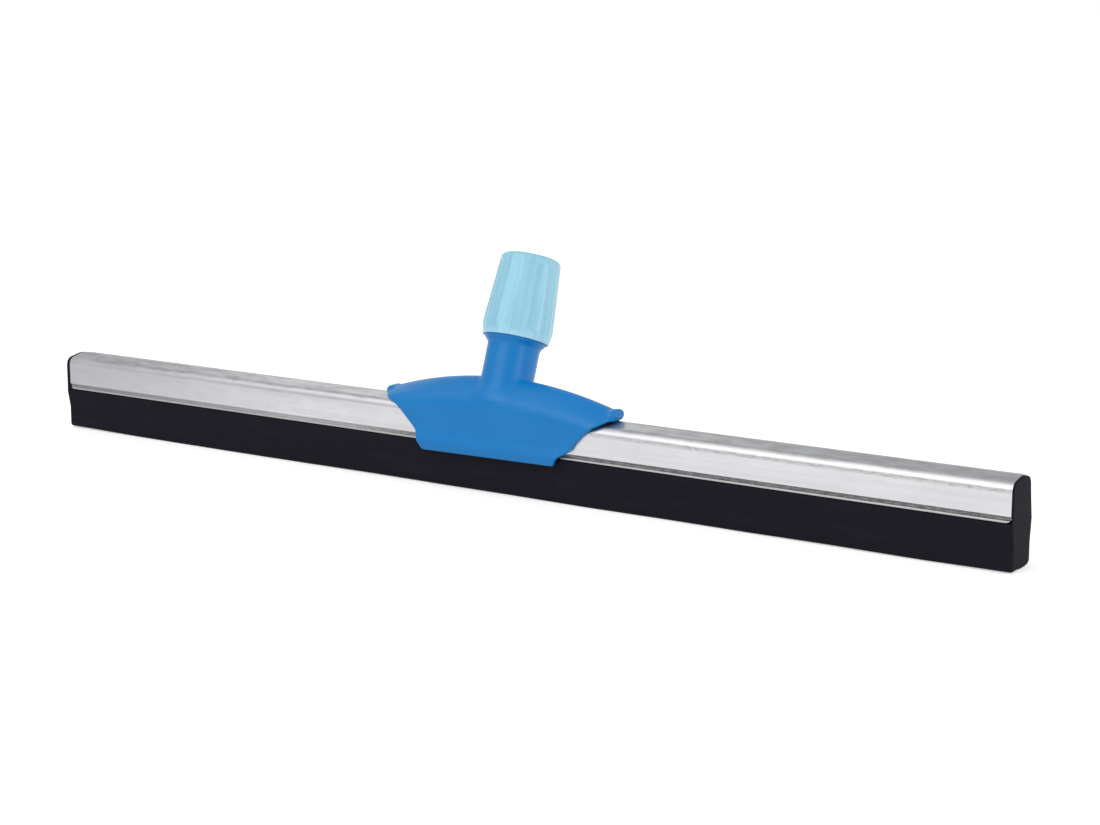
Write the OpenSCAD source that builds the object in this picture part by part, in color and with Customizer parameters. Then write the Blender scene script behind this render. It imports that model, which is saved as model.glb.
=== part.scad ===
// Floor squeegee head: a steel channel grips two leaves of foam rubber, and a snap-on
// plastic socket with a clamping nut takes a round handle.
// Lengths are in millimetres. X runs along the head, +Y is the side that the handle leans to,
// and Z is up from the floor that the rubber stands on.

/* [Blades] */
// Length of the rubber
blade_l = 600; // [400:10:900]
// Height of the rubber that shows below the steel
blade_drop = 24.2; // [18:0.1:34]
// Thickness of the two leaves together, near the floor
blade_t = 22; // [16:0.5:23]
// Height of the straight foot, below the swelling
foot_h = 12; // [6:0.5:15]
// How far the rubber swells past the steel, just below it
swell = 0.3; // [0:0.1:0.4]
// Radius of the outer edge that meets the floor
edge_r = 1.5; // [0.5:0.1:3]
// Slit between the two leaves
slit_w = 0.2; // [0.1:0.1:1]
// Gap between the rubber and the inside of the steel
grip_gap = 0.1; // [0.02:0.01:0.2]

/* [Steel channel] */
// Thickness over the two walls
channel_t = 24; // [20:0.5:32]
// Height of the channel
channel_h = 20.2; // [18:0.1:30]
// Thickness of the sheet
sheet_t = 0.8; // [0.5:0.1:1]
// Width of the flat on the crown
crown_flat = 6; // [2:0.5:8]
// Fall of the crown from its flat to the shoulder
crown_fall = 2; // [1:0.1:4]
// Width of the sloping shoulder
shoulder_w = 3; // [2:0.1:4]
// Height of the sloping shoulder
shoulder_h = 2.6; // [1.5:0.1:4]
// Height of the hem below the groove
hem_h = 1.2; // [1:0.1:2.5]
// Depth of the groove that pinches the rubber
groove_d = 1.2; // [0.8:0.1:1.6]
// Height of the groove
groove_h = 2.6; // [2:0.1:4]
// Radius of the bends
bend_r = 1; // [0.4:0.1:1.5]
// Rubber that stands past the steel at the left end
overhang_left = 3; // [0.5:0.5:8]
// Rubber that stands past the steel at the right end
overhang_right = 1; // [0.5:0.5:8]
// Radius of the steel's lower end corners
corner_r = 2; // [0.5:0.5:5]

/* [Saddle of the socket] */
// Place of the socket along the head, from its middle
socket_x = 9.7; // [-80:0.1:80]
// Length from tip to tip
saddle_l = 150; // [130:1:200]
// Wall of the moulding
wall_t = 2.4; // [1.6:0.1:3]
// Gap between the saddle's walls and the steel
fit_gap = 0.15; // [0.05:0.05:0.3]
// Height of the roof's crest over the crown of the channel
roof_rise = 16; // [12:0.1:24]
// Radius of the arched crest
arch_r = 229; // [200:1:400]
// Fall of the roof from its crest to the walls
roof_fall = 8.5; // [5:0.1:11]
// Radius of the soft edges of the roof
roof_edge_r = 4; // [1:0.5:6]
// Set-back of the wall's upper corner from the tip
corner_setback = 11.7; // [8:0.1:20]
// Fall of the wall's upper corner below the crown of the channel
corner_fall = 1.8; // [0.5:0.1:4]
// Rise of the tip's underside over the crown of the channel
tip_rise = 1.2; // [0.6:0.1:2]
// How far the walls' side edges stand to the right of the tips' middle
wall_shift = 2; // [-4:0.5:4]
// Radius of the concave side edges
side_r = 110; // [50:5:200]
// Length of the walls just above the lips
waist_l = 98; // [70:1:120]
// Length of the lip's lower edge
lip_l = 86; // [60:1:110]
// How far the lip hangs below the steel
lip_drop = 4.6; // [3:0.1:8]
// How far the lip bulges past the wall
lip_bulge = 2; // [1:0.1:3]
// Radius of the bead at each tip
bead_r = 2; // [1.5:0.1:3]
// How far the bead's middle lies below the crest
bead_sink = 1.2; // [0:0.1:2]
// How far short of the bead's tip the roof and the walls end
tip_cut = 1.4; // [1.2:0.1:1.8]
// Length of the bead across the roof, without its rounded ends
bead_l = 4; // [2:0.5:10]
// Thickness of the cross ribs that rest on the channel
rib_t = 2; // [1:0.1:4]
// Distance between the cross ribs
rib_pitch = 24; // [18:1:30]

/* [Neck of the socket] */
// Lean of the neck from upright
neck_tilt = 20.4; // [0:0.1:24]
// Outer radius of the neck
neck_r = 14; // [13:0.1:14.4]
// Radius of the bore for the handle
bore_r = 11.25; // [10:0.05:11.5]
// Height of the bore's floor over the channel, along the neck
bore_floor = 6; // [5.5:0.5:14]
// Height of the seat that the nut closes on, along the neck
seat_s = 36.4; // [34:0.1:60]
// Outer radius of the flared collar below the seat
collar_r = 16.6; // [16.4:0.1:18]
// Height of the flare
flare_h = 3.4; // [2:0.1:9]
// Height of the collar's straight rim
collar_rim = 0.6; // [0.3:0.1:2]
// Root radius of the threaded spigot
spigot_r = 14.6; // [14.4:0.1:14.8]
// Length of the spigot above the seat
spigot_l = 23; // [20:0.5:30]
// Depth of the thread
thread_d = 0.9; // [0.5:0.1:0.9]
// Pitch of the thread
thread_pitch = 4; // [3:0.5:5]
// Depth of the conical mouth for the collet
mouth_l = 15; // [12:0.5:18]
// Radius of the mouth at its bottom
mouth_foot_r = 12.4; // [12.3:0.1:12.8]
// Radius of the mouth at its rim
mouth_rim_r = 13.5; // [13.2:0.1:13.6]

/* [Collet and nut] */
// Running gap round the collet and inside the nut
run_gap = 0.3; // [0.2:0.05:0.4]
// Radius of the collet's barrel above the mouth
barrel_r = 13; // [12.8:0.1:13.1]
// Radius of the collet's head ring
head_r = 14.3; // [14:0.1:14.5]
// Height of the collet's head ring
head_h = 3; // [2:0.5:5]
// Height of the ring in the nut that pulls the collet out
puller_h = 4; // [2:0.5:6]
// Number of slits in the collet
slit_count = 6; // [3:1:10]
// Width of a slit in the collet
collet_slit = 1.6; // [0.8:0.1:2.5]
// Length of the nut
nut_l = 45.2; // [42:0.1:60]
// Outer radius of the nut at its foot
nut_foot_r = 17.6; // [17:0.1:18]
// Largest outer radius of the nut
nut_belly_r = 19; // [18:0.1:22]
// Height of the nut's largest radius over its foot
belly_h = 7; // [5:0.1:12]
// Outer radius of the nut below its rounded rim
nut_top_r = 16.1; // [15.5:0.1:17.5]
// Radius of the nut's rounded rim
nut_rim_r = 3; // [1:0.5:3.5]
// Gap between the nut's foot and the collar
seat_gap = 0.1; // [0.05:0.05:0.3]
// Radius of the hole in the nut's top
throat_r = 11.9; // [11.6:0.1:12.5]
// Number of flutes round the nut
flute_count = 14; // [8:1:20]
// Radius of the tool that cuts a flute
flute_r = 5; // [3:0.5:8]
// Depth of a flute
flute_d = 0.5; // [0.2:0.1:0.6]

/* [Hidden] */

$fn = 96;
arch_fn = 360;
eps = 0.01;
bend_steps = 4;
far = 100;

// The channel's levels
half_t = channel_t / 2;
crown_z = blade_drop + channel_h;
shoulder_z = crown_z - crown_fall;
wall_top_z = shoulder_z - shoulder_h;
groove_z = blade_drop + hem_h;
groove_top_z = groove_z + groove_h;
steel_l = blade_l - overhang_left - overhang_right;
steel_x = (overhang_left - overhang_right) / 2;

// The saddle's levels
cavity_half = half_t + fit_gap;
wall_half = cavity_half + wall_t;
crest_z = crown_z + roof_rise;
lip_z = blade_drop - lip_drop;
swell_z = blade_drop - hem_h;
bulge_z = blade_drop + hem_h / 2;
lip_inner_half = half_t + swell + 3 * fit_gap;
tip_x = saddle_l / 2;
bead_x = tip_x - bead_r;
end_x = tip_x - tip_cut;
bead_z = arch_height(bead_x) - bead_sink;

// Heights along the neck, from the crown of the channel
spigot_top = seat_s + spigot_l;
mouth_foot = spigot_top - mouth_l;
nut_foot = seat_s + seat_gap;
nut_top = nut_foot + nut_l;
cavity_top = spigot_top + 1;
puller_top = cavity_top + puller_h;
collet_foot = mouth_foot + 2 * run_gap;
head_foot = puller_top + run_gap;
head_top = head_foot + head_h;
pocket_top = head_top + run_gap;
nut_cavity_r = spigot_r + thread_d + run_gap;
belly_s = nut_foot + belly_h;
rim_s = nut_top - nut_rim_r / 2;
taper = atan((nut_belly_r - nut_top_r) / (rim_s - belly_s));

function arch_height(x) = crest_z - arch_r + sqrt(arch_r * arch_r - x * x);

// Small tools for outlines
function unit(v) = v / norm(v);
function turned(v, a) = [v.x * cos(a) - v.y * sin(a), v.x * sin(a) + v.y * cos(a)];
function left_of(v) = [-v.y, v.x];
function reversed(pts) = [for (i = [len(pts) - 1:-1:0]) pts[i]];
function mirrored(pts) = [for (p = reversed(pts)) [-p.x, p.y]];

// Arc of radius r that rounds corner b between a and c, kept within the two sides
function corner_arc(a, b, c, r) =
    let (
        u = unit(a - b),
        v = unit(c - b),
        half = acos(u * v) / 2,
        reach = min(r / tan(half), 0.45 * norm(a - b), 0.45 * norm(c - b)),
        centre = b + unit(u + v) * reach / cos(half),
        first = b + u * reach - centre,
        last = b + v * reach - centre,
        sweep = (180 - 2 * half) * sign(cross(first, last))
    )
    [for (i = [0:bend_steps]) centre + turned(first, sweep * i / bend_steps)];

// Open line with its inner corners rounded, by one radius or by a list with one for each point
function rounded_line(pts, r) = concat(
    [pts[0]],
    [for (i = [1:len(pts) - 2])
        each corner_arc(pts[i - 1], pts[i], pts[i + 1], is_list(r) ? r[i] : r)],
    [pts[len(pts) - 1]]
);

// Open line moved to its left by d, with mitred corners
function moved_line(pts, d) =
    let (
        last = len(pts) - 1,
        sides = [for (i = [0:last - 1]) left_of(unit(pts[i + 1] - pts[i]))]
    )
    [for (i = [0:last])
        let (
            before = sides[max(i - 1, 0)],
            after = sides[min(i, last - 1)],
            way = unit(before + after)
        )
        pts[i] + way * d / (way * before)];

// Points of an arc from a to b with radius r, bulging to the left of the way from a to b
function arc_between(a, b, r, steps) =
    let (
        span = norm(b - a),
        half = asin(span / 2 / r),
        centre = (a + b) / 2 - left_of(unit(b - a)) * r * cos(half)
    )
    [for (i = [0:steps]) centre + turned(left_of(unit(b - a)), half - 2 * half * i / steps) * r];

// Outer face of one half of the channel, from the hem up to the crown
half_channel = [
    [half_t, blade_drop],
    [half_t, groove_z],
    [half_t - groove_d, groove_z + groove_d / 2],
    [half_t - groove_d, groove_top_z - groove_d / 2],
    [half_t, groove_top_z],
    [half_t, wall_top_z],
    [half_t - shoulder_w, shoulder_z],
    [crown_flat / 2, crown_z]
];
whole_channel = concat(half_channel, mirrored(half_channel));

// Draws a cross-section in Y and Z, and carries it along X
module along_x(length, middle = 0) {
    translate([middle, 0, 0])
        rotate([90, 0, 90])
            linear_extrude(length, center = true)
                children();
}

// Draws an elevation in X and Z, and carries it through the head along Y
module along_y(depth) {
    rotate([90, 0, 0])
        linear_extrude(depth, center = true)
            children();
}

// Puts what is drawn upright on the crown of the channel on the leaning neck's axis
module on_neck() {
    translate([socket_x, 0, crown_z])
        rotate([-neck_tilt, 0, 0])
            children();
}

// Turned body with the outline pts, as radius and height, between the heights low and high
module turned_body(pts, low, high) {
    rotate_extrude()
        polygon(concat([[0, low]], pts, [[0, high]]));
}

// Roll-formed sheet with rounded lower end corners
module steel_channel() {
    color("gainsboro")
        intersection() {
            along_x(steel_l, steel_x)
                polygon(concat(
                    rounded_line(whole_channel, bend_r),
                    reversed(rounded_line(moved_line(whole_channel, sheet_t), bend_r))
                ));
            translate([steel_x, 0, 0])
                along_y(channel_t + 2)
                    steel_elevation();
        }
}

// Side view of the channel: a long rectangle with its lower corners rounded
module steel_elevation() {
    half_l = steel_l / 2;
    right = rounded_line([[0, blade_drop], [half_l, blade_drop], [half_l, crown_z + 1]], corner_r);
    polygon(concat(right, mirrored(right)));
}

// One leaf of the rubber, on the +Y side: it fills its half of the channel and hangs below it
module leaf() {
    inside = moved_line(half_channel, sheet_t + grip_gap);
    outer_side = concat(
        [
            [slit_w / 2, 0],
            [blade_t / 2, 0],
            [blade_t / 2, foot_h],
            [half_t + swell, swell_z],
            [inside[0].x, blade_drop]
        ],
        [for (i = [1:len(inside) - 1]) inside[i]],
        [[slit_w / 2, inside[len(inside) - 1].y]]
    );
    radii = [for (i = [0:len(outer_side) - 1]) i == 1 ? edge_r : i == 2 ? foot_h / 2 : bend_r];
    along_x(blade_l)
        polygon(rounded_line(outer_side, radii));
}

module front_blade() {
    color("#23232a")
        mirror([0, 1, 0])
            leaf();
}

module back_blade() {
    color("#23232a")
        leaf();
}

// Right-hand side edge in the side view, from the lip up to the tip, moved to the right by shift
function side_edge(shift) = concat(
    [[lip_l / 2, lip_z], [(lip_l + waist_l) / 4, blade_drop]],
    arc_between(
        [waist_l / 2 + shift, groove_top_z],
        [tip_x - corner_setback + shift, crown_z - corner_fall],
        side_r,
        8
    ),
    [[end_x, crown_z + tip_rise], [end_x, crest_z + 1]]
);

// Side view of the saddle from end to end, open to the top
module saddle_elevation() {
    polygon(concat(side_edge(wall_shift), mirrored(side_edge(-wall_shift))));
}

// Cross-section of the saddle's outside: straight walls, and lips that bulge and turn in
module wall_section() {
    right = [
        [wall_half + lip_bulge / 4, lip_z],
        [wall_half + lip_bulge, bulge_z - hem_h],
        [wall_half + lip_bulge, bulge_z],
        [wall_half, groove_top_z + 2 * hem_h],
        [wall_half, crest_z + 1]
    ];
    outline = rounded_line(right, 2 * bend_r);
    polygon(concat(outline, mirrored(outline)));
}

// Cross-section of the saddle's inside, with a snap rib in each groove
module cavity_section() {
    rib_half = half_t - groove_d + fit_gap;
    rib_low = groove_z + groove_d / 2 + fit_gap;
    rib_high = groove_top_z - groove_d / 2 - fit_gap;
    right = [
        [lip_inner_half, lip_z - 1],
        [lip_inner_half, swell_z - hem_h],
        [wall_half + lip_bulge - wall_t, bulge_z - hem_h],
        [wall_half + lip_bulge - wall_t, bulge_z],
        [cavity_half, rib_low - groove_d / 2],
        [rib_half, rib_low],
        [rib_half, rib_high],
        [cavity_half, rib_high + groove_d / 2],
        [cavity_half, crest_z + 1]
    ];
    polygon(concat(right, mirrored(right)));
}

// Body turned about a low axis along Y: an arched roof, lowered by sink, with vertical sides at
// Y = -side and side. Below the eaves it spreads to clear the lips.
module arched_roof(sink, side) {
    eaves = arch_r - roof_fall - sink;
    skirt = norm([waist_l / 2 + lip_drop, groove_top_z + 2 * hem_h - crest_z + arch_r]);
    spread = wall_half + lip_bulge + 1;
    half = [[skirt, spread], [skirt, side], [eaves, side], [arch_r - sink, 0]];
    other = [[eaves, -side], [skirt, -side], [skirt, -spread]];
    radii = [0, 0.1, roof_edge_r, roof_edge_r, roof_edge_r, 0.1, 0];
    translate([0, 0, crest_z - arch_r])
        rotate([90, 0, 0])
            rotate_extrude($fn = arch_fn)
                polygon(concat(
                    [[arch_r / 2, spread]],
                    rounded_line(concat(half, other), radii),
                    [[arch_r / 2, -spread]]
                ));
}

// The saddle's outer form before it is hollowed
module saddle_block() {
    intersection() {
        along_x(saddle_l + 2)
            wall_section();
        along_y(far)
            saddle_elevation();
        arched_roof(0, wall_half);
    }
}

// The space under the saddle's roof and between its walls
module saddle_cavity() {
    intersection() {
        along_x(saddle_l + 4)
            cavity_section();
        arched_roof(wall_t, cavity_half);
    }
}

// The channel's outline with its fitting gap, cut through all that stands on it
module channel_passage() {
    outside = moved_line(half_channel, -fit_gap);
    crown = [[cavity_half, groove_top_z], [cavity_half, wall_top_z], outside[6], outside[7]];
    along_x(saddle_l + 4)
        polygon(concat(crown, mirrored(crown)));
}

// Cross ribs that carry the roof on the crown of the channel
module cross_ribs() {
    intersection() {
        arched_roof(wall_t / 2, wall_half - wall_t / 2);
        for (side = [-1, 1], i = [1:2])
            translate([side * i * rib_pitch - rib_t / 2, -wall_half, wall_top_z - rib_t])
                cube([rib_t, 2 * wall_half, crest_z - wall_top_z + rib_t]);
    }
}

// Rounded bead across each tip of the saddle
module tip_beads() {
    profile = concat(
        [for (a = [-75:15:0]) [bead_r * cos(a), bead_r * sin(a) - bead_l / 2]],
        [for (a = [0:15:75]) [bead_r * cos(a), bead_r * sin(a) + bead_l / 2]]
    );
    for (side = [-1, 1])
        translate([side * bead_x, 0, bead_z])
            rotate([90, 0, 0])
                turned_body(profile, -bead_l / 2 - bead_r, bead_l / 2 + bead_r);
}

// Neck, flared collar and spigot, turned about the neck's axis
module neck_body() {
    flare = rounded_line([
        [neck_r, -neck_r],
        [neck_r, seat_s - collar_rim - flare_h],
        [collar_r, seat_s - collar_rim],
        [collar_r, seat_s]
    ], flare_h);
    turned_body(
        concat(flare, [[spigot_r, seat_s], [spigot_r, spigot_top]]),
        -neck_r,
        spigot_top
    );
}

// Thread on the spigot: one unbroken ridge with a triangular section that sinks into the root
module spigot_thread() {
    root = spigot_r - thread_d / 2;
    crest = spigot_r + thread_d;
    half_w = thread_pitch / 4;
    start = seat_s + thread_pitch / 2;
    turns = (spigot_l - thread_pitch) / thread_pitch;
    steps = 24;
    rings = floor(turns * steps);
    section = [[root, -half_w], [crest, -half_w / 3], [crest, half_w / 3], [root, half_w]];
    points = [for (i = [0:rings], p = section)
        let (a = 360 * i / steps)
        [p.x * cos(a), p.x * sin(a), start + thread_pitch * i / steps + p.y]];
    sides = [for (i = [0:rings - 1], k = [0:3])
        let (a = 4 * i + k, b = 4 * i + (k + 1) % 4)
        each [[a, b, b + 4], [a, b + 4, a + 4]]];
    last = 4 * rings;
    ends = [[0, 2, 1], [0, 3, 2], [last, last + 1, last + 2], [last, last + 2, last + 3]];
    polyhedron(points, concat(sides, ends));
}

// Bore for the handle and the conical mouth that the collet is pressed into
module handle_bore() {
    translate([0, 0, bore_floor])
        cylinder(h = far, r = bore_r);
    translate([0, 0, mouth_foot])
        cylinder(h = mouth_l + eps, r1 = mouth_foot_r, r2 = mouth_rim_r);
}

// One moulding: saddle, ribs, beads, neck, collar and threaded spigot
module handle_socket() {
    color("#267bc0")
        difference() {
            union() {
                translate([socket_x, 0, 0]) {
                    difference() {
                        saddle_block();
                        saddle_cavity();
                    }
                    cross_ribs();
                    tip_beads();
                }
                intersection() {
                    on_neck() {
                        neck_body();
                        spigot_thread();
                    }
                    translate([socket_x - far, -wall_half + fit_gap, crown_z])
                        cube([2 * far, 2 * far, 2 * far]);
                }
            }
            translate([socket_x, 0, 0])
                channel_passage();
            on_neck()
                handle_bore();
        }
}

// Split sleeve: a cone in the socket's mouth, a barrel, and a head ring inside the nut
module clamping_collet() {
    cone_rim_r = mouth_rim_r - run_gap - (mouth_rim_r - mouth_foot_r) * 2 * run_gap / mouth_l;
    outer = [
        [mouth_foot_r - run_gap, collet_foot],
        [cone_rim_r, spigot_top - 2 * run_gap],
        [barrel_r, spigot_top],
        [barrel_r, head_foot],
        [head_r, head_foot],
        [head_r, head_top]
    ];
    color("whitesmoke")
        on_neck()
            difference() {
                turned_body(outer, collet_foot, head_top);
                translate([0, 0, mouth_foot])
                    cylinder(h = far, r = bore_r);
                for (i = [0:slit_count - 1])
                    rotate([0, 0, 360 * i / slit_count])
                        translate([0, -collet_slit / 2, mouth_foot])
                            cube([far, collet_slit, head_foot - mouth_foot - head_h / 2]);
            }
}

// Turned nut with its inside bored in steps, and flutes cut along its taper
module lock_nut() {
    outer = rounded_line([
        [nut_foot_r - 1, nut_foot],
        [nut_foot_r, nut_foot],
        [nut_belly_r, belly_s],
        [nut_top_r, rim_s],
        [nut_top_r - nut_rim_r, nut_top],
        [throat_r, nut_top]
    ], [0, nut_rim_r, 4 * nut_rim_r, nut_rim_r, nut_rim_r, 0]);
    color("#9cd3e7")
        on_neck()
            difference() {
                turned_body(outer, nut_foot, nut_top);
                translate([0, 0, nut_foot - 1])
                    cylinder(h = cavity_top - nut_foot + 1, r = nut_cavity_r);
                translate([0, 0, cavity_top - eps])
                    cylinder(h = puller_h + 2 * eps, r = barrel_r + run_gap);
                translate([0, 0, puller_top])
                    cylinder(h = pocket_top - puller_top, r = head_r + run_gap);
                translate([0, 0, pocket_top - eps])
                    cylinder(h = far, r = throat_r);
                for (i = [0:flute_count - 1])
                    rotate([0, 0, 360 * (i + 0.5) / flute_count])
                        flute_cutter();
            }
}

// Round bar that lies along the nut's taper and reaches flute_d into it
module flute_cutter() {
    translate([nut_belly_r - flute_d, 0, belly_s])
        rotate([0, -taper, 0])
            translate([flute_r, 0, -belly_h])
                cylinder(h = nut_l, r = flute_r);
}

steel_channel();
front_blade();
back_blade();
handle_socket();
clamping_collet();
lock_nut();
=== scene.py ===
"""Looks of a floor squeegee head: its pieces, their finishes, the studio and the camera.

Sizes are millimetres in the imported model's frame, and metres in the finishes. X runs along the
head, +Y is the side that the handle leans to, and Z is up from the floor. Every finished piece
sits at the origin with its place in its mesh.
"""
import logging
import math
from dataclasses import dataclass
from enum import Enum
from typing import Any, Callable, Sequence

import bpy
import numpy as np
from mathutils import Matrix, Vector


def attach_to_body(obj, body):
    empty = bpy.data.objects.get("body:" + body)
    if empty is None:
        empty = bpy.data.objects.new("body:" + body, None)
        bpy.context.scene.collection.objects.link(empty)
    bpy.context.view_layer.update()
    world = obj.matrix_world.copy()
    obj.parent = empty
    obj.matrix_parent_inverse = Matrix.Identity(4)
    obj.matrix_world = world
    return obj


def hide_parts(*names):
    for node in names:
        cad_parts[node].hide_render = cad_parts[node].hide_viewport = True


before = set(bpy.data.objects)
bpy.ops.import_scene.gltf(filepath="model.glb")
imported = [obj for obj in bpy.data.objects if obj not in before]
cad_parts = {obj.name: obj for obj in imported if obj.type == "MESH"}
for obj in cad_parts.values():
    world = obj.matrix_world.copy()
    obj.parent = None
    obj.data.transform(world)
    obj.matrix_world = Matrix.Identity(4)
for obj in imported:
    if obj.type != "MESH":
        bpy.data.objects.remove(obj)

logging.basicConfig(level=logging.INFO, format="%(message)s")
LOG = logging.getLogger("squeegee")

MM = 0.001

Array = np.ndarray
Piece = bpy.types.Object
Knots = Sequence[tuple[float, float]]
Span = tuple[float, float]
Triple = tuple[float, float, float]
Band = tuple[float, float, float, float]
Colour = tuple[float, float, float, float]
Ends = tuple[Sequence[float], Sequence[float]]
Field = Callable[[Array, Array, Array], Array]


class Body(Enum):
    """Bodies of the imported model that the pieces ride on."""

    HEAD = "head"
    COLLET = "collet"
    NUT = "nut"


class Slot(Enum):
    """Material slots of the record."""

    STEEL = "galvanised_sheet"
    FOAM = "foam_rubber"
    SOCKET = "blue_plastic"
    COLLET = "collet_plastic"
    NUT = "light_blue_plastic"


class Side(Enum):
    """The two sides of the head, as the sign of Y."""

    FRONT = -1
    BACK = 1


# ---- Curves and fields worked out as whole arrays


def soft_line(t: Array, knots: Knots, radius: float) -> tuple[Array, Array]:
    """Works out a line through knots whose corners are rounded.

    The value is the first stretch, plus for each corner its change of slope times
    (u + sqrt(u^2 + radius^2)) / 2, where u is the distance past the corner.

    Args:
        t: Places along the line.
        knots: Pairs of place and value, in rising order of place.
        radius: Half the length over which a corner is rounded.

    Returns:
        The value and the slope at each place.
    """
    places, values = np.array(knots, float).T
    slopes = np.diff(values) / np.diff(places)
    value = values[0] + slopes[0] * (t - places[0])
    slope = np.full_like(t, slopes[0])
    for corner, change in zip(places[1:-1], np.diff(slopes)):
        past = t - corner
        root = np.sqrt(past * past + radius * radius)
        value = value + change * (past + root) / 2
        slope = slope + change * (1 + past / root) / 2
    return value, slope


def beyond(value: Array, t: Array, knots: Knots, radius: float, most: float = math.inf) -> Array:
    """Distance by which a value lies beyond a soft line over t, measured square to the line.

    The square of the line's slope counts up to most.
    """
    line, slope = soft_line(t, knots, radius)
    return (value - line) / np.sqrt(1 + np.minimum(slope**2, most))


def soft_max(a: Array, b: Array, reach: float | Array) -> Array:
    """Larger of two fields, with the corner between them rounded.

    It is the maximum plus (reach - |a - b|)^2 / (4 reach) where that bracket is positive, so
    fields blend where they differ by less than reach.
    """
    overlap = np.maximum(reach - np.abs(a - b), 0.0)
    return np.maximum(a, b) + overlap * overlap / (4 * reach)


def soft_min(a: Array, b: Array, reach: float | Array) -> Array:
    """Smaller of two fields, with the corner between them filled: the mirror of soft_max."""
    return -soft_max(-a, -b, reach)


def fade(t: Array, start: float, end: float) -> Array:
    """Share from 0 at start to 1 at end, as the smooth step 3u^2 - 2u^3."""
    u = np.clip((t - start) / (end - start), 0, 1)
    return u * u * (3 - 2 * u)


def waves(t: Array, parts: Sequence[Triple]) -> Array:
    """Sum of sines, each given by its amplitude, wavelength and phase in radians."""
    return sum(high * np.sin(2 * math.pi * t / length + phase) for high, length, phase in parts)


def arc(x: Array, top: float, radius: float) -> Array:
    """Height at x of a circle's upper arc, whose top is at x = 0."""
    return top - radius + np.sqrt(radius**2 - x * x)


def rounded_path(points: Knots, radii: Sequence[float], steps: int) -> Array:
    """Open path through points with a round arc at each inner corner.

    An arc starts r tan(half the turn) before its corner. Its points turn evenly about a centre
    that lies r to the side of the path.

    Args:
        points: Corners of the path.
        radii: One radius for each corner, the ends included.
        steps: Number of stretches in each arc.

    Returns:
        The points of the path, one row each.
    """
    corners = np.array(points, float)
    rows = [corners[:1]]
    for before, here, after, radius in zip(corners[:-2], corners[1:-1], corners[2:], radii[1:-1]):
        into = (here - before) / np.linalg.norm(here - before)
        out = (after - here) / np.linalg.norm(after - here)
        turn = math.atan2(into[0] * out[1] - into[1] * out[0], float(into @ out))
        if radius <= 0 or abs(turn) < 1e-6:
            rows.append(here[None])
            continue
        side = math.copysign(1.0, turn)
        start = here - into * radius * math.tan(abs(turn) / 2)
        centre = start + side * radius * np.array([-into[1], into[0]])
        angle = np.linspace(0, turn, steps + 1)
        arm = start - centre
        rows.append(centre + np.stack([
            arm[0] * np.cos(angle) - arm[1] * np.sin(angle),
            arm[0] * np.sin(angle) + arm[1] * np.cos(angle),
        ], axis=1))
    rows.append(corners[-1:])
    return np.concatenate(rows)


def spread_points(path: Array, longest: float) -> Array:
    """Path with further points put in, so that no stretch is longer than a length."""
    lengths = np.linalg.norm(np.diff(path, axis=0), axis=1)
    counts = np.maximum(np.ceil(lengths / longest).astype(int), 1)
    owner = np.repeat(np.arange(len(counts)), counts)
    firsts = np.repeat(np.cumsum(counts) - counts, counts)
    share = (np.arange(len(owner)) - firsts) / counts[owner]
    rows = path[owner] + (path[owner + 1] - path[owner]) * share[:, None]
    return np.concatenate([rows, path[-1:]])


def offset_path(path: Array, distance: float) -> Array:
    """Open path moved to its left, square to the differences between a point's neighbours."""
    along = np.gradient(path, axis=0)
    along = along / np.linalg.norm(along, axis=1, keepdims=True)
    return path + np.stack([-along[:, 1], along[:, 0]], axis=1) * distance


# ---- Meshes


def grid_faces(rows: int, columns: int, wrap: bool) -> Array:
    """Four-cornered faces of a grid of vertices numbered row by row. Each row is a ring.

    Args:
        rows: Number of rows of vertices.
        columns: Number of vertices in a row.
        wrap: Whether the last row joins the first.

    Returns:
        One row of four vertex numbers for each face.
    """
    r = np.arange(rows if wrap else rows - 1)[:, None]
    c = np.arange(columns)[None, :]
    row, next_row = r * columns, (r + 1) % rows * columns
    c_next = (c + 1) % columns
    corners = np.broadcast_arrays(row + c, row + c_next, next_row + c_next, next_row + c)
    return np.stack(corners, axis=-1).reshape(-1, 4)


def make_piece(name: str, vertices: Array, faces: Array, crease: float = 40.0) -> Piece:
    """Puts vertices in millimetres and equal-sided faces into a new smooth-shaded object.

    Args:
        name: Name of the object.
        vertices: One row of X, Y and Z for each vertex.
        faces: One row of vertex numbers for each face, seen anticlockwise from outside.
        crease: Angle in degrees above which an edge stays sharp.

    Returns:
        The object, linked to the scene, at the origin.
    """
    mesh = bpy.data.meshes.new(name)
    mesh.vertices.add(len(vertices))
    mesh.vertices.foreach_set("co", (np.asarray(vertices, np.float32) * MM).ravel())
    mesh.loops.add(faces.size)
    mesh.loops.foreach_set("vertex_index", faces.astype(np.int32).ravel())
    mesh.polygons.add(len(faces))
    mesh.polygons.foreach_set("loop_start", np.arange(len(faces), dtype=np.int32) * faces.shape[1])
    mesh.polygons.foreach_set("use_smooth", np.ones(len(faces), bool))
    mesh.update(calc_edges=True)
    mesh.validate()
    mesh.set_sharp_from_angle(angle=math.radians(crease))
    piece = bpy.data.objects.new(name, mesh)
    bpy.context.scene.collection.objects.link(piece)
    return piece


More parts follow.
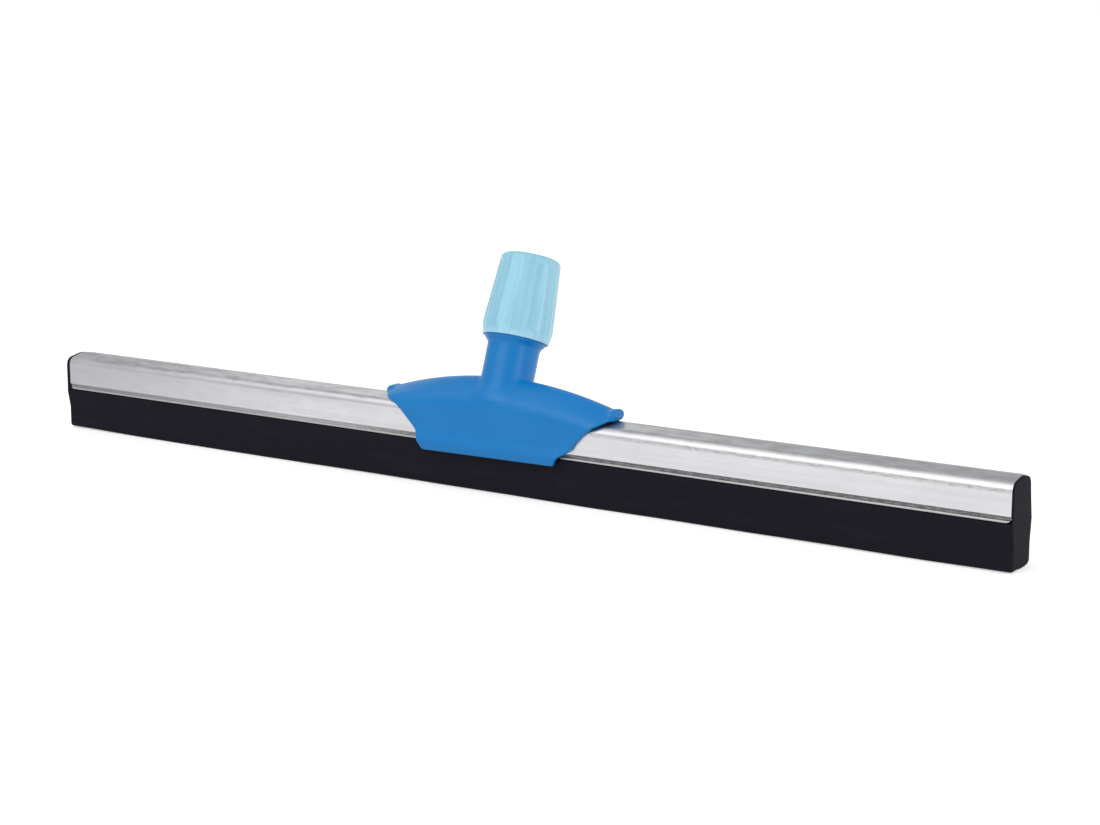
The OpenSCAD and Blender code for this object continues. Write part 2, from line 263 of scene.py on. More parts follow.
def carried_section(name: str, x: Array, y: Array, z: Array, crease: float = 40.0) -> Piece:
    """Builds a closed section that is carried along, with a cap at both ends.

    The second half of a section comes back inside the first. A cap is a strip between them.

    Args:
        name: Name of the object.
        x: Places of the points along X, one row for each section.
        y: Places of the points across.
        z: Heights of the points.
        crease: Angle in degrees above which an edge stays sharp.

    Returns:
        The piece.
    """
    sections, count = x.shape
    i = np.arange(count // 2 - 1)
    cap = np.stack([i, i + 1, count - 2 - i, count - 1 - i], axis=1)
    last = cap[:, ::-1] + (sections - 1) * count
    faces = np.concatenate([grid_faces(sections, count, False), cap, last])
    vertices = np.stack(np.broadcast_arrays(x, y, z), axis=-1).reshape(-1, 3)
    return make_piece(name, vertices, faces, crease)


def settle(field: Field, vertices: Array, step: float) -> Array:
    """Moves vertices onto the surface of a field by Newton's steps, field over gradient.

    Args:
        field: Function of X, Y and Z arrays.
        vertices: Vertices near the surface.
        step: Size of a cell, which limits a move.

    Returns:
        The moved vertices.
    """
    rounds, nudge, longest, least_square = 3, 0.02 * step, 0.4 * step, 0.2
    for _ in range(rounds):
        slope = np.stack([
            (field(*(vertices + d).T) - field(*(vertices - d).T)) / (2 * nudge)
            for d in np.eye(3) * nudge
        ], axis=1)
        square = np.maximum((slope * slope).sum(axis=1), least_square)
        move = slope * (field(*vertices.T) / square)[:, None]
        length = np.linalg.norm(move, axis=1, keepdims=True)
        vertices = vertices - move * np.minimum(1, longest / np.maximum(length, 1e-9))
    return vertices


def net_surface(
    field: Field, low: Sequence[float], high: Sequence[float], step: float
) -> tuple[Array, Array]:
    """Skins a solid given as a field that is negative inside it.

    Each cell that the surface crosses gets one vertex, the mean of the crossings on its edges.
    Each edge that crosses the surface gets one face, between the four cells round it. The
    vertices are then moved onto the surface.

    Args:
        field: Function of X, Y and Z arrays.
        low: Lowest corner of the grid.
        high: Highest corner of the grid.
        step: Size of a cell.

    Returns:
        The vertices and the four-cornered faces.
    """
    axes = [np.arange(a, b + step, step) for a, b in zip(low, high)]
    value = field(*np.meshgrid(*axes, indexing="ij"))
    inside = value < 0
    shape = np.array(value.shape) - 1
    corners = np.array([[i, j, k] for i in (0, 1) for j in (0, 1) for k in (0, 1)])
    filled = sum(
        inside[i:i + shape[0], j:j + shape[1], k:k + shape[2]].astype(np.int8)
        for i, j, k in corners
    )
    crossed = (filled > 0) & (filled < len(corners))
    cell = np.argwhere(crossed)
    number = np.full(crossed.shape, -1, np.int32)
    number[crossed] = np.arange(len(cell))

    total, hits = np.zeros((len(cell), 3)), np.zeros(len(cell))
    for axis, unit in enumerate(np.eye(3, dtype=int)):
        for corner in corners[corners[:, axis] == 0]:
            a = value[tuple((cell + corner).T)]
            b = value[tuple((cell + corner + unit).T)]
            cut = (a < 0) != (b < 0)
            share = np.where(cut, a / np.where(cut, a - b, 1), 0)
            total += cut[:, None] * (corner + share[:, None] * unit)
            hits += cut
    vertices = np.array([axis[0] for axis in axes]) + (cell + total / hits[:, None]) * step

    faces = []
    for axis in range(3):
        second, third = np.roll(np.eye(3, dtype=int), -1 - axis, axis=0)[:2]
        first = np.moveaxis(inside, axis, 0)
        node = np.argwhere(np.moveaxis(first[:-1] != first[1:], 0, axis))
        node = node[((node - second - third >= 0) & (node < shape)).all(axis=1)]
        ring = [node - second - third, node - third, node, node - second]
        quad = np.stack([number[tuple(n.T)] for n in ring], axis=1)
        outward = inside[tuple(node.T)]
        faces.append(np.where(outward[:, None], quad, quad[:, ::-1]))
    return settle(field, vertices, step), np.concatenate(faces)


# ---- Shader graphs


@dataclass(frozen=True)
class Noise:
    """Settings of a noise texture, and the stretch of the place that it is read at."""

    scale: float
    detail: float
    rough: float
    stretch: Triple = (1, 1, 1)


class Flow:
    """A shader socket. Python's operators on it add Math nodes."""

    def __init__(self, graph: "Graph", socket: bpy.types.NodeSocket | None) -> None:
        """Keeps the socket and the graph that it belongs to. An output node has no socket."""
        self.graph = graph
        self.socket = socket

    def math(self, operation: str, *values: Any) -> "Flow":
        """Adds one Math node that works on the given values."""
        return self.graph.node("ShaderNodeMath", {"operation": operation}, dict(enumerate(values)))

    def __add__(self, other: Any) -> "Flow":
        """Sum of the socket and another value."""
        return self.math("ADD", self, other)

    def __rsub__(self, other: Any) -> "Flow":
        """A value less the socket."""
        return self.math("SUBTRACT", other, self)

    def __mul__(self, other: Any) -> "Flow":
        """Product of the socket and another value."""
        return self.math("MULTIPLY", self, other)

    __radd__, __rmul__ = __add__, __mul__

    def between(self, low: float, high: float) -> "Flow":
        """Share from 0 at low to 1 at high, smoothed at both ends."""
        values = {"Value": self, "From Min": low, "From Max": high}
        return self.graph.node("ShaderNodeMapRange", {"interpolation_type": "SMOOTHSTEP"}, values)

    def band(self, edges: Band) -> "Flow":
        """Share that rises between the first two of four values and falls between the others."""
        return self.between(*edges[:2]) * (1 - self.between(*edges[2:]))


class Graph:
    """Nodes of one material or world."""

    def __init__(self, owner: bpy.types.Material | bpy.types.World) -> None:
        """Switches on the owner's nodes and clears them."""
        self.owner = owner
        owner.use_nodes = True
        self.tree = owner.node_tree
        self.tree.nodes.clear()

    def node(
        self, kind: str, settings: dict[str, Any], values: dict[Any, Any], output: int | str = 0
    ) -> Flow:
        """Adds a node.

        Args:
            kind: Type of the node.
            settings: Properties to set first, such as an operation.
            values: Numbers, colours or links for its sockets, by name or place.
            output: Name or place of the output to return.

        Returns:
            That output.
        """
        made = self.tree.nodes.new(kind)
        for name, setting in settings.items():
            setattr(made, name, setting)
        for place, value in values.items():
            if isinstance(value, Flow):
                self.tree.links.new(value.socket, made.inputs[place])
            else:
                made.inputs[place].default_value = value
        return Flow(self, made.outputs[output] if len(made.outputs) else None)

    def place(self, stretch: Triple = (1, 1, 1), turn: Triple = (0, 0, 0)) -> Flow:
        """Object coordinates in metres, turned first and then stretched."""
        here = self.node("ShaderNodeTexCoord", {}, {}, "Object")
        if any(turn):
            here = self.node("ShaderNodeMapping", {}, {"Vector": here, "Rotation": turn})
        return self.node("ShaderNodeMapping", {}, {"Vector": here, "Scale": stretch})

    def axis(self, place: Flow, name: str) -> Flow:
        """One number of a place, by its axis X, Y or Z."""
        return self.node("ShaderNodeSeparateXYZ", {}, {"Vector": place}, name)

    def noise(self, noise: Noise, turn: Triple = (0, 0, 0)) -> Flow:
        """Value of a noise texture, read at its own stretched place."""
        values = {"Scale": noise.scale, "Detail": noise.detail, "Roughness": noise.rough}
        place = self.place(noise.stretch, turn)
        return self.node("ShaderNodeTexNoise", {}, {"Vector": place, **values})

    def mix(self, share: Any, first: Any, second: Any) -> Flow:
        """Colour between two colours."""
        values = {0: share, 6: first, 7: second}
        return self.node("ShaderNodeMix", {"data_type": "RGBA"}, values, 2)

    def bump(self, height: Flow, distance: float, strength: float) -> Flow:
        """Normal bent by a height, whose unit is distance in metres."""
        values = {"Height": height, "Distance": distance, "Strength": strength}
        return self.node("ShaderNodeBump", {}, values)

    def surface(self, values: dict[str, Any]) -> None:
        """Adds the Principled shader with the given sockets, and the output."""
        shader = self.node("ShaderNodeBsdfPrincipled", {}, values)
        self.node("ShaderNodeOutputMaterial", {}, {"Surface": shader})


def new_graph(name: str) -> Graph:
    """Graph of a new material."""
    return Graph(bpy.data.materials.new(name))


# ---- Finishes


@dataclass(frozen=True)
class GalvanisedFinish:
    """Zinc-coated sheet with lengthwise rolling marks, dull clouds, flecks and painted shade.

    Spans are measured along the head for the lit, left and right parts; left of the lit part the
    colour carries painted shade. The crown's span and all bands are heights.
    """

    pale: Colour = (0.725, 0.725, 0.725, 1)
    dull: Colour = (0.50, 0.49, 0.515, 1)
    # Grey of the flecks and crown blotches, and of the painted shade line and the hem's painted
    # shade.
    fleck_and_shade_grey: Colour = (0.33, 0.33, 0.335, 1)
    groove_shade_colour: Colour = (0.20, 0.20, 0.205, 1)
    roughness: float = 0.30
    worn_roughness: float = 0.16
    dull_roughness: float = 0.15
    dirt_roughness: float = 0.35
    crown_wear: float = 0.42
    left_wear: float = 0.12
    fleck_share: float = 0.45
    mark_depth: float = 0.00004
    long_marks: Noise = Noise(1.0, 4.0, 0.6, (3.0, 260, 260))
    fine_marks: Noise = Noise(1.0, 3.0, 0.6, (14.0, 1500, 1500))
    clouds: Noise = Noise(26.0, 3.0, 0.6, (1, 2.2, 2.2))
    specks: Noise = Noise(1000.0, 3.0, 0.65, (0.25, 1, 1))
    blotches: Noise = Noise(75.0, 4.0, 0.62, (1, 3, 3))
    lit_span: Span = (-0.31, -0.09)
    left_span: Span = (-0.12, 0.02)
    right_span: Span = (0.0, 0.14)
    crown_span: Span = (0.0408, 0.0424)
    shade_line_band: Band = (0.0375, 0.0386, 0.0393, 0.0402)
    fleck_band: Band = (0.0374, 0.0387, 0.0396, 0.0405)
    groove_band: Band = (0.0249, 0.0252, 0.0270, 0.0275)

    def material(self) -> bpy.types.Material:
        """Builds the material.

        The walls are pale with painted shade over the left part, the crown is blotched, a painted
        shade line with flecks lies along the shoulder's foot at the right, and painted shade
        darkens the groove and the hem.
        """
        g = new_graph("galvanised_sheet")
        here = g.place()
        along, height = g.axis(here, "X"), g.axis(here, "Z")
        lit_share = along.between(*self.lit_span)
        left = 1 - along.between(*self.left_span)
        right = along.between(*self.right_span)
        groove = height.band(self.groove_band)
        hem = 1 - height.between(*self.groove_band[:2])
        marks, clouds, specks = g.noise(self.long_marks), g.noise(self.clouds), g.noise(self.specks)

        wear = marks * 0.5 + g.noise(self.fine_marks) * 0.25 + clouds * 0.35
        # Painted shade: the tone is darkened towards the left end, where the lamps' reflections
        # fade; the marks and clouds in it are the sheet's own wear.
        shade = (0.37 + 0.42 * wear.between(0.30, 0.72)) * (0.25 + 0.75 * lit_share)
        colour = g.mix(shade, self.dull, self.pale)
        worn = height.between(*self.crown_span) * self.crown_wear + left * self.left_wear
        colour = g.mix(worn * g.noise(self.blotches).between(0.40, 0.64), colour, self.fleck_and_shade_grey)
        # Painted shade: a dark line just under the shoulder's highlight, on the right part only.
        shade_line = height.band(self.shade_line_band) * right * (0.15 + 0.35 * clouds)
        flecks = height.band(self.fleck_band) * right * specks.between(0.46, 0.60)
        colour = g.mix(shade_line + flecks * self.fleck_share, colour, self.fleck_and_shade_grey)
        # Painted shade in the groove, broken by specks and weaker on the left part.
        groove_shade = groove * (0.72 + 0.5 * specks.between(0.42, 0.66)) * (1 - 0.75 * left)
        colour = g.mix(groove_shade.math("MINIMUM", groove_shade, 1.0), colour, self.groove_shade_colour)
        # Painted shade on the hem, for the dark rubber that it reflects; stronger on the lit part.
        colour = g.mix(hem * (0.35 + 0.3 * lit_share), colour, self.fleck_and_shade_grey)
        roughness = self.roughness + self.worn_roughness * (1 - shade)
        roughness = roughness + self.dull_roughness * (1 - lit_share) + self.dirt_roughness * groove
        g.surface({
            "Base Color": colour,
            "Metallic": 1.0,
            "Roughness": roughness,
            "Normal": g.bump(marks, self.mark_depth, 0.2),
        })
        return g.owner


@dataclass(frozen=True)
class FoamRubberFinish:
    """Black cellular rubber with a fine, closed-pored skin."""

    base: Colour = (0.0108, 0.0098, 0.0155, 1)
    dusty: Colour = (0.0190, 0.0178, 0.0245, 1)
    roughness: float = 0.62
    shine: float = 0.08
    pore_scale: float = 1400.0
    pore_depth: float = 0.00012
    skin: Noise = Noise(900.0, 3.0, 0.6)
    scuffs: Noise = Noise(30.0, 4.0, 0.65, (1, 5, 5))

    def material(self) -> bpy.types.Material:
        """Builds the material."""
        g = new_graph("foam_rubber")
        values = {"Vector": g.place(), "Scale": self.pore_scale}
        pores = g.node("ShaderNodeTexVoronoi", {"feature": "F1"}, values, "Distance")
        skin = g.noise(self.skin)
        dust = g.noise(self.scuffs).between(0.5, 0.8) * 0.5 + skin.between(0.5, 0.8) * 0.4
        relief = pores.between(0.0, 0.5) + skin * 0.6
        g.surface({
            "Base Color": g.mix(dust, self.base, self.dusty),
            "Roughness": self.roughness + 0.2 * skin,
            "Specular IOR Level": self.shine,
            "Normal": g.bump(relief, self.pore_depth, 0.55),
        })
        return g.owner


@dataclass(frozen=True)
class MouldedFinish:
    """Injection-moulded plastic with a fine grain and soft flow marks.

    Turn leans the flow marks and the heights of the foot's painted highlight, the span over which
    the paler foot fades out. By default that span lies far below the floor.
    """

    name: str
    base: Colour
    pale: Colour
    roughness: float
    shine: float = 0.30
    scatter: float = 0.0
    flow: Noise = Noise(45.0, 3.0, 0.55)
    flow_share: float = 0.55
    turn: Triple = (0, 0, 0)
    foot_highlight_span: Span = (-2, -1)
    foot_highlight_share: float = 0.5
    scuffs: Noise = Noise(160.0, 4.0, 0.7)
    scuff_share: float = 0.12
    grain: Noise = Noise(2600.0, 2.0, 0.5)
    grain_depth: float = 0.00002
    roughness_spread: float = 0.08

    def material(self) -> bpy.types.Material:
        """Builds the material."""
        g = new_graph(self.name)
        flow = g.noise(self.flow, self.turn).between(0.35, 0.75)
        scuffs = g.noise(self.scuffs).between(0.58, 0.8)
        grain = g.noise(self.grain)
        # Painted highlight: the foot is paler, for the light that its rim catches.
        foot = 1 - g.axis(g.place(turn=self.turn), "Z").between(*self.foot_highlight_span)
        share = flow * self.flow_share + scuffs * self.scuff_share + foot * self.foot_highlight_share
        spread = self.roughness_spread
        g.surface({
            "Base Color": g.mix(share, self.base, self.pale),
            "Roughness": self.roughness + spread * grain + spread * scuffs,
            "Specular IOR Level": self.shine,
            "Subsurface Weight": self.scatter,
            "Subsurface Radius": (0.6, 0.8, 1.0),
            "Subsurface Scale": 0.002,
            "Normal": g.bump(grain, self.grain_depth, 0.6),
        })
        return g.owner


def attach(piece: Piece, finish: bpy.types.Material, body: Body, node: str) -> None:
    """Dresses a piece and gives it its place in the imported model.

    Args:
        piece: The finished piece.
        finish: Its material.
        body: Body that it rides on.
        node: CAD node that it replaces.
    """
    piece.data.materials.append(finish)
    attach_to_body(piece, body.value)
    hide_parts(node)
    LOG.info("built %s: %d faces", piece.name, len(piece.data.polygons))


# ---- The head: steel channel and rubber

# Angles of the steps round a leaf's domed end.
DOME_TURNS = np.radians([0, 25, 50, 72, 90])


@dataclass
class ChannelHead:
    """Roll-formed steel channel that grips two leaves of foam rubber.

    The left and right ends are the steel's, and rubber_half is the rubber's end. A leaf has
    sections of its own just inside its domes, for the gripped part and for the hanging part.
    """

    half_thickness: float = 12.0
    hem_z: float = 24.2
    hem_height: float = 0.9
    groove_height: float = 2.0
    groove_depth: float = 1.0
    crown_z: float = 44.55
    crown_half: float = 1.5
    shoulder_z: float = 42.6
    shoulder_radius: float = 4.6
    crown_radius: float = 12.0
    sheet: float = 0.8
    bend: float = 0.7
    end_radius: float = 2.6
    skew: float = 1.9
    left: float = -297.0
    right: float = 299.0
    steel_sections: int = 300
    rubber_half: float = 300.0
    foot_half: float = 11.0
    foot_height: float = 12.0
    swell: float = 0.3
    foot_radius: float = 2.0
    slit: float = 0.06
    grip_gap: float = 0.1
    proud_gap: float = 0.15
    pinch: float = 0.25
    grip_dome: float = 0.5
    foot_dome: float = 1.4
    top_lean: float = 0.4
    back_taper: float = 0.28
    back_lift: float = 0.7
    curl: float = 0.35
    back_phase: float = 1.7
    rubber_sections: int = 239
    gripped: Ends = ((-299.2, -298.2, -297.6, -297.0), (297.8, 299.0, 299.15, 299.3, 299.4))
    hanging: Ends = ((-298.4, -298.0, -297.5, -297.0), (297.7, 298.2, 298.35, 298.45, 298.55))

    def outside(self) -> Array:
        """Points in Y and Z of the channel's outside, from the back hem over the crown."""
        wall, deep = self.half_thickness, self.half_thickness - self.groove_depth
        low = self.hem_z + self.hem_height
        high = low + self.groove_height
        ease = self.groove_depth / 2
        half = [
            (wall, self.hem_z), (wall, low), (deep, low + ease), (deep, high - ease), (wall, high),
            (wall, self.shoulder_z), (self.crown_half, self.crown_z),
        ]
        bends = [self.bend] * 5 + [self.shoulder_radius, self.crown_radius]
        corners = half + [(-y, z) for y, z in reversed(half)]
        return spread_points(rounded_path(corners, bends + bends[::-1], 8), 2.0)

    def channel(self) -> Piece:
        """Builds the channel: its section, with its thickness, carried along X.

        A section is the outside followed by the inside. The ends keep back near the lower
        corners, so that these are round, and the back wall ends a little earlier at the right.
        The walls wander by a few hundredths.
        """
        outside = self.outside()
        inside = offset_path(outside, self.sheet)
        loop = np.concatenate([outside, inside[::-1]])

        short = np.maximum(self.end_radius - (loop[:, 1] - self.hem_z), 0)
        keep_back = self.end_radius - np.sqrt(np.maximum(self.end_radius**2 - short**2, 0))
        ends = np.array([0, 0.4, 1.2, 2.5, 5])
        middle = np.linspace(self.left, self.right, self.steel_sections)[4:-4]
        stations = np.concatenate([self.left + ends, middle, self.right - ends[::-1]])
        share = (stations - self.left) / (self.right - self.left)
        lean = np.interp(share, [0, 0.02, 0.98, 1], [1, 0, 0, -1])[:, None]
        skew = self.skew * fade(loop[:, 0], 2, 11) * fade(loop[:, 1], 26, 38)
        x = stations[:, None] + lean * (keep_back + skew * (lean < 0))
        wander = waves(x, [(0.03, 170, 0.4), (0.02, 71, 2.0)])
        y = loop[None, :, 0] * (1 + wander / self.half_thickness)
        return carried_section("steel_channel_sheet", x, y, loop[None, :, 1])

    def leaf_section(self) -> tuple[Array, Array]:
        """Section of a leaf between the steel walls, and past their ends, where it swells.

        Returns:
            The gripped section and the swollen one. Both are the same points in Y and Z, up the
            outside and down the side of the slit.
        """
        steel = self.outside()
        inner = offset_path(steel, self.sheet + self.grip_gap)
        proud = offset_path(steel, self.proud_gap)
        groove_top = self.hem_z + self.hem_height + self.groove_height
        held = (inner[:, 1] > groove_top + 1.2) & (inner[:, 0] > self.slit / 2)
        heights = np.linspace(self.hem_z + 0.3, groove_top + 0.5, 5)
        pinched = self.half_thickness - self.groove_depth - self.sheet - self.pinch
        grip, proud = [
            np.concatenate([np.stack([np.full(5, half), heights], axis=1), form[held]])
            for half, form in ((pinched, inner), (self.half_thickness - self.proud_gap, proud))
        ]
        swollen = self.half_thickness + self.swell
        corners = [
            (self.slit / 2, 0), (self.foot_half, 0), (self.foot_half - 0.1, self.foot_height),
            (self.foot_half + 0.6, 16.8), (swollen, 21.4), (swollen - 0.15, self.hem_z - 0.7),
            (grip[0][0], self.hem_z - 0.1), tuple(grip[0]),
        ]
        bends = [0, self.foot_radius, 14, 10, 2, 0.5, 0.3, 0]
        free_part = spread_points(rounded_path(corners, bends, 5), 1.6)
        outer = np.concatenate([free_part, grip[1:]])
        bulged = np.concatenate([free_part, proud[1:]])
        at_hem = np.abs(bulged[:, 1] - self.hem_z) < 0.65
        bulged[at_hem, 0] = proud[0, 0]
        loop, swollen_loop = [
            np.concatenate([form, (form * (0, 1) + (self.slit / 2, 0))[::-1]])
            for form in (outer, bulged)
        ]
        return loop, swollen_loop

    def stations(self, dome: float, ends: Ends) -> Array:
        """Places of a leaf's sections along X.

        Args:
            dome: Length over which an end is rounded.
            ends: Places just inside the left dome and just inside the right one.

        Returns:
            All places in rising order.
        """
        rise = dome * (1 - np.cos(DOME_TURNS))
        middle = np.linspace(self.left, self.right, self.rubber_sections)[1:-1]
        far = self.rubber_half
        return np.concatenate([rise - far, ends[0], middle, ends[1], far - rise[::-1]])

    def leaf(self, side: Side) -> Piece:
        """Builds one leaf: a swelling section carried along X with domed ends.

        Its foot sways a little along the head. The front leaf's curls up at both ends, and the
        back leaf narrows at the right-hand end.

        Args:
            side: Side of the slit that the leaf is on.

        Returns:
            The leaf.
        """
        loop, swollen_loop = self.leaf_section()
        gripped = self.stations(self.grip_dome, self.gripped)
        hanging = self.stations(self.foot_dome, self.hanging)
        free = np.interp(gripped, [-298.2, -297.0, 299.0, 299.3], [1, 0, 0, 1])[:, None]
        low = fade(self.hem_z - loop[:, 1], 0, 4)
        x = gripped[:, None] * (1 - low) + hanging[:, None] * low
        draw = 1 - np.sin(DOME_TURNS)
        inset = np.concatenate([draw, np.zeros(len(gripped) - 2 * len(draw)), draw[::-1]])[:, None]
        inset = inset * (self.grip_dome + (self.foot_dome - self.grip_dome) * low)

        y, z = [held + (swollen - held) * free for held, swollen in zip(loop.T, swollen_loop.T)]
        y = y - inset * fade(y, 0, 4)
        z = z + inset * (1 - fade(z, 0, 3) - fade(z, 41, 44))
        x = x + self.top_lean * fade(z, 36, 44) * fade(-x, 297, 300)
        if side is Side.BACK:
            y = y * (1 - self.back_taper * fade(x, 297.4, 300) * fade(z, 15, 43))
            z = z + self.back_lift * fade(x, 297, 300) * fade(y, 5, 11) * (1 - fade(z, 0, 7))
        y = np.maximum(y, self.slit / 2)

        loose = fade(self.hem_z - z, 0.5, 14)
        phase = 0.0 if side is Side.FRONT else self.back_phase
        sway = waves(x, [(0.16, 210, 0.9 + phase), (0.10, 83, 2.2 + phase), (0.05, 31, phase)])
        lift = 0.18 + waves(x, [(0.12, 260, 2.6 + phase), (0.06, 97, 0.4)])
        curl = self.curl * fade(np.abs(x), 250, 300) if side is Side.FRONT else 0.0
        y = y + loose * np.clip(sway, -0.2, 0.25) * fade(y, 1, 9)
        z = z + loose * (np.maximum(lift, 0) + curl)

        leaf = carried_section("rubber_leaf_" + side.name.lower(), x, y * side.value, z, 50)
        if side is Side.FRONT:
            leaf.data.flip_normals()
        return leaf

    def build(self) -> None:
        """Makes the channel and the leaves, dresses them and puts them on the head."""
        steel = GalvanisedFinish().material()
        attach(self.channel(), steel, Body.HEAD, "steel_channel")
        foam = FoamRubberFinish().material()
        for side in Side:
            leaf = self.leaf(side)
            attach(leaf, foam, Body.HEAD, side.name.lower() + "_blade")


# ---- The leaning axis that socket, collet and nut share


@dataclass(frozen=True)
class NeckAxis:
    """Axis that leans from the crown of the channel. S is the height along it."""

    x: float = 9.7
    crown_z: float = 44.4
    tilt: float = math.radians(20.4)

    def seen_from(self, x: Array, y: Array, z: Array) -> tuple[Array, Array]:
        """Radius from the axis and height along it, of points in the model's frame."""
        sine, cosine = math.sin(self.tilt), math.cos(self.tilt)
        up = z - self.crown_z
        over = y * cosine - up * sine
        return np.sqrt((x - self.x) ** 2 + over**2), y * sine + up * cosine

    def turned(self, name: str, radius: Array, s: Array, angle: Array, crease: float) -> Piece:
        """Builds a closed section turned about the axis.

        Args:
            name: Name of the object.
            radius: Radius of each point of the section, at each angle.
            s: Height of each point along the axis, as one column.
            angle: Angles round the axis in radians, as one row.
            crease: Angle in degrees above which an edge stays sharp.

        Returns:
            The piece.
        """
        sine, cosine = math.sin(self.tilt), math.cos(self.tilt)
        across, over = radius * np.cos(angle), radius * np.sin(angle)
        y = over * cosine + s * sine
        z = self.crown_z - over * sine + s * cosine
        vertices = np.stack(np.broadcast_arrays(self.x + across, y, z), axis=-1).reshape(-1, 3)
        faces = grid_faces(len(s), angle.size, True)
        return make_piece(name, vertices, faces, crease)


AXIS = NeckAxis()


# ---- The socket


@dataclass
class HandleSocket:
    """Moulded socket: arched saddle with hooked lips, leaning neck, collar and threaded spigot.

    In the fields of the saddle, X is measured from the neck's axis. A bend is the reach over
    which two forms blend.
    """

    tip: float = 73.4
    point: float = 75.2
    point_slope: float = 0.674
    crest_z: float = 60.4
    crest_radius: float = 229.0
    crest_lean: float = 0.010
    ridge_z: float = 50.3
    ridge_radius: float = 347.0
    wall_half: float = 14.55
    wall: float = 2.4
    cavity_half: float = 12.15
    lip_z: float = 19.8
    lip_lean: float = 0.011
    roof_bend: float = 4.2
    edge_bend: float = 0.9
    fine_bend: float = 0.4
    neck_radius: float = 14.0
    joint_s: float = 32.0
    collar_foot: float = 30.8
    collar_radius: float = 16.5
    collar_round: float = 0.3
    seat_s: float = 36.85
    bore_radius: float = 11.25
    bore_floor: float = 6.0
    rib_places: tuple[float, ...] = (-48, -24, 24, 48)
    rib: float = 2.0
    bead_radius: float = 2.7
    bead_half: float = 3.0
    bead_sink: float = 1.9
    bead_bend: float = 2.0
    spigot_radius: float = 14.6
    spigot_top: float = 59.4
    thread_depth: float = 0.9
    pitch: float = 4.0
    mouth_foot: float = 44.4
    mouth_foot_radius: float = 12.4
    mouth_rim_radius: float = 13.5
    turn_steps: int = 192
    cell: float = 0.68

    def crest(self, x: Array) -> Array:
        """Height of the roof's crest: a circle's arc, leaning a little to the right."""
        return arc(x, self.crest_z, self.crest_radius) + self.crest_lean * x

    def roof(self, x: Array, y: Array, z: Array, sink: float) -> Array:
        """Field of the roof, lowered by sink.

        The crest and the ridge are two arcs along X. Between them the section follows
        sqrt(t^2 + c^2), which is round at the crest and nearly straight at the ridge.
        """
        flat = 0.35
        span = math.hypot(1, flat) - flat
        t = y / self.wall_half
        root = np.sqrt(t * t + flat * flat)
        crest = self.crest(x)
        rise = crest - arc(x, self.ridge_z, self.ridge_radius)
        slope_y = rise * t / root / span / self.wall_half
        slope_x = x / self.crest_radius
        above = z - crest + rise * ((root - flat) / span)
        return above / np.sqrt(1 + slope_x**2 + slope_y**2) + sink

    def side_walls(self, y: Array, z: Array) -> Array:
        """Field of the walls, with the lips that bulge and turn in below them."""
        return beyond(np.abs(y), z, [
            (18, 15.2), (19.6, 15.5), (24.2, 16.66), (30.6, self.wall_half),
            (42, self.wall_half - 0.05), (60, self.wall_half - 0.4),
        ], self.fine_bend)

    def side_edges(self, x: Array, y: Array, z: Array) -> Array:
        """Field of the cut at both ends: the concave side edges, and the pointed plan above."""
        right = beyond(x, z, [
            (18, 41.2), (21.2, 42.4), (24.8, 44.6), (27.2, 48.4), (29.2, 52.0), (31.0, 52.9),
            (33, 54.6), (36, 57.4), (39, 60.4), (42.2, 64.4), (43.8, 68.2), (45.6, 71.5),
            (50, 71.5),
        ], self.fine_bend, 6.0)
        left = beyond(-x, z, [
            (18, 41.0), (19.8, 41.9), (24, 44.7), (29, 46.2), (31, 48.0), (34, 51.2), (39, 56.2),
            (42.6, 60.8), (44.2, 65.5), (46.0, 71.0), (50, 71.5),
        ], self.fine_bend, 6.0)
        points = np.abs(x) + self.point_slope * np.abs(y) - self.point
        points = points / math.hypot(1, self.point_slope)
        return soft_max(np.maximum(right, left), points, self.edge_bend)

    def passage_top(self, y: Array) -> Array:
        """Height of the channel's outline, with its fitting gap."""
        return soft_line(np.abs(y), [
            (0, 44.75), (2, 44.65), (8.6, 43.6), (11.2, 41.9), (12.15, 39), (15, 37),
        ], self.fine_bend)[0]

    def neck(self, x: Array, y: Array, z: Array) -> Array:
        """Field of the neck up to the collar, above the channel and behind the front wall."""
        radius, s = AXIS.seen_from(x + AXIS.x, y, z)
        body = soft_max(radius - self.neck_radius, s - self.joint_s, self.fine_bend)
        body = soft_max(body, self.passage_top(y) - z, self.fine_bend)
        return soft_max(body, -self.wall_half + 0.5 - y, 0.8)

    def cavity(self, x: Array, y: Array, z: Array) -> Array:
        """Field of the hollow between the walls, with a snap rib in each of the grooves."""
        walls = beyond(np.abs(y), z, [
            (18, 12.75), (21.8, 12.75), (23.0, 14.2), (24.6, 14.2), (25.6, 12.2), (26.1, 10.95),
            (26.6, 10.95), (27.2, self.cavity_half), (60, self.cavity_half),
        ], 0.2)
        hollow = soft_max(walls, self.roof(x, y, z, self.wall), 1.2)
        ribs = np.min([np.abs(x - place) for place in self.rib_places], axis=0) - self.rib / 2
        return soft_max(hollow, -ribs, 0.6)

    def bead(self, x: Array, y: Array, z: Array, end: int) -> Array:
        """Field of the bead at one tip, a bar across it with round ends. End is -1 or 1."""
        bead_x = end * (self.tip - self.bead_radius)
        bead_z = self.crest(np.array(bead_x)) - self.bead_sink
        along = np.maximum(np.abs(y) - self.bead_half, 0)
        return np.sqrt((x - bead_x) ** 2 + along**2 + (z - bead_z) ** 2) - self.bead_radius

    def field(self, x: Array, y: Array, z: Array) -> Array:
        """Field of the whole moulding up to the collar: outer form, less its hollows."""
        x = x - AXIS.x
        block = soft_max(self.side_walls(y, z), self.roof(x, y, z, 0), self.roof_bend)
        block = soft_max(block, self.side_edges(x, y, z), self.edge_bend)
        block = soft_max(block, self.lip_z + self.lip_lean * x - z, self.edge_bend)
        neck = self.neck(x, y, z)
